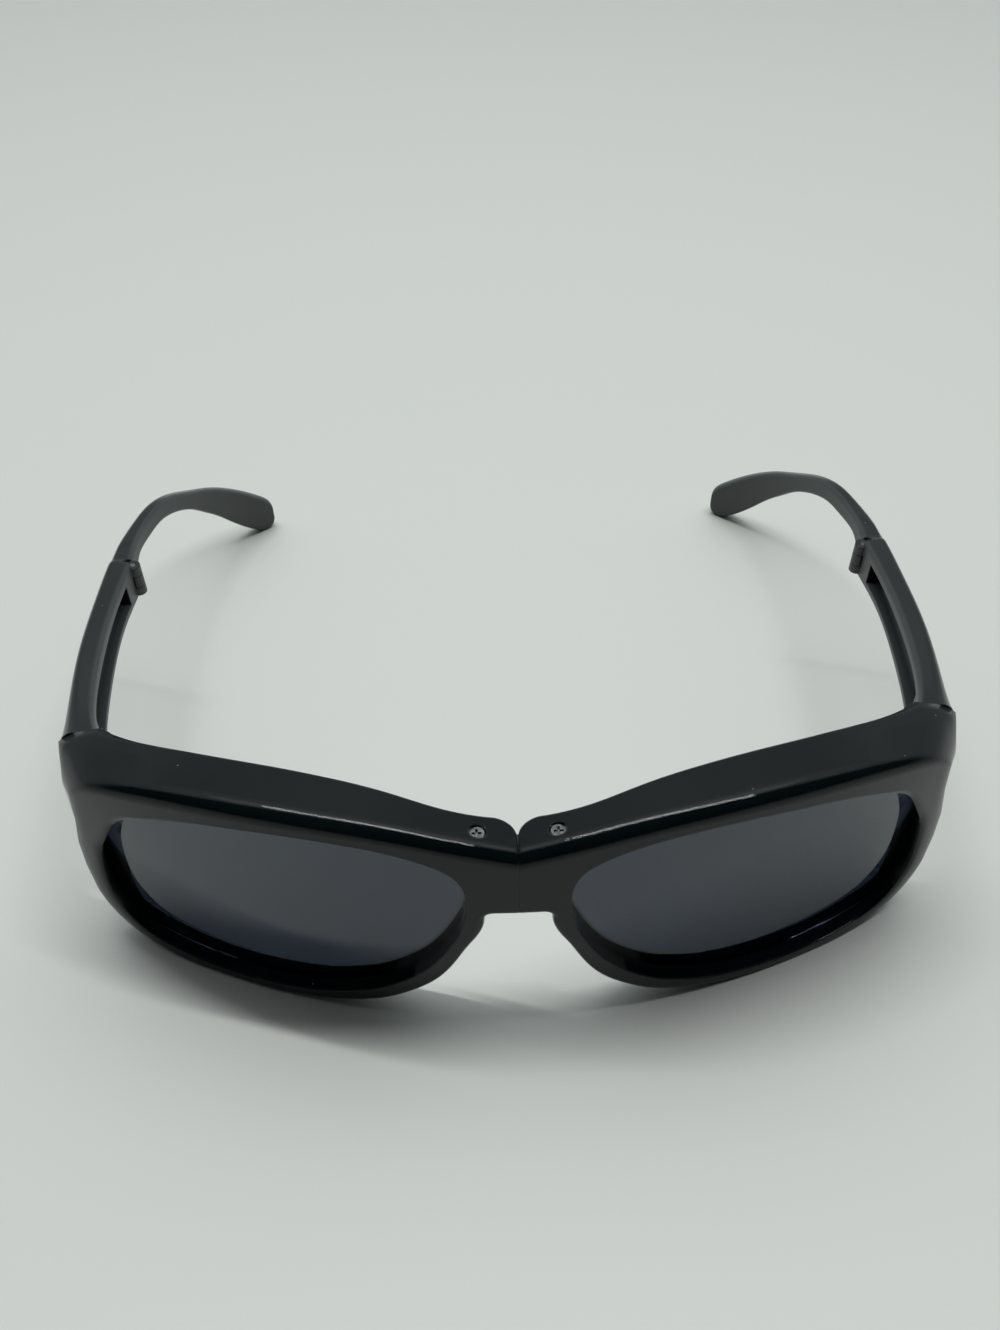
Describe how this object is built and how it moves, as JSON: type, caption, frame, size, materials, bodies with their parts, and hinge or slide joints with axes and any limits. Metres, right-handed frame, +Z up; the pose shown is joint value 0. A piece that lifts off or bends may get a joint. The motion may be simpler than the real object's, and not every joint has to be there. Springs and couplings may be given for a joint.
{
  "type": "fitover sunglasses",
  "caption": "Wraparound sunglasses with deep side wings, worn over other glasses, hinged at the bridge, at both temples and half way along each arm.",
  "frame": {"origin": "centre of the bounding box in plan, at the level of the table the rims and tips stand on", "axes": "+X towards the wearer's left, +Y from the lenses back to the ears, +Z up"},
  "size_m": [0.1576, 0.138, 0.0505],
  "materials": {
    "frame_plastic": "gloss black moulded plastic",
    "lens": "polished smoke grey lens",
    "steel": "bright steel"
  },
  "bodies": {
    "bridge": {"bridge_link": "frame_plastic"},
    "left_front": {"left_half_front": "frame_plastic", "left_lens": "lens", "left_bridge_screw": "steel", "left_hinge_screw": "steel"},
    "left_temple": {"left_temple": "frame_plastic", "left_joint_pin": "steel"},
    "left_ear": {"left_ear_piece": "frame_plastic"},
    "right_front": {"right_half_front": "frame_plastic", "right_lens": "lens", "right_bridge_screw": "steel", "right_hinge_screw": "steel"},
    "right_temple": {"right_temple": "frame_plastic", "right_joint_pin": "steel"},
    "right_ear": {"right_ear_piece": "frame_plastic"}
  },
  "joints": [
    {"name": "left_bridge", "type": "hinge", "parent": "bridge", "child": "left_front", "pos_m": [0.0062, -0.06386, 0], "axis": [0, 0, 1], "range_deg": [0, 20]},
    {"name": "left_temple_hinge", "type": "hinge", "parent": "left_front", "child": "left_temple", "pos_m": [0.06918, -0.03716, 0], "axis": [0, 0, 1], "range_deg": [0, 88]},
    {"name": "left_arm_joint", "type": "hinge", "parent": "left_temple", "child": "left_ear", "pos_m": [0.07396, 0.0136, 0], "axis": [0, 0, 1], "range_deg": [0, 160]},
    {"name": "right_bridge", "type": "hinge", "parent": "bridge", "child": "right_front", "pos_m": [-0.0062, -0.06386, 0], "axis": [0, 0, -1], "range_deg": [0, 20]},
    {"name": "right_temple_hinge", "type": "hinge", "parent": "right_front", "child": "right_temple", "pos_m": [-0.06918, -0.03716, 0], "axis": [0, 0, -1], "range_deg": [0, 82]},
    {"name": "right_arm_joint", "type": "hinge", "parent": "right_temple", "child": "right_ear", "pos_m": [-0.07396, 0.0136, 0], "axis": [0, 0, -1], "range_deg": [0, 160]}
  ]
}
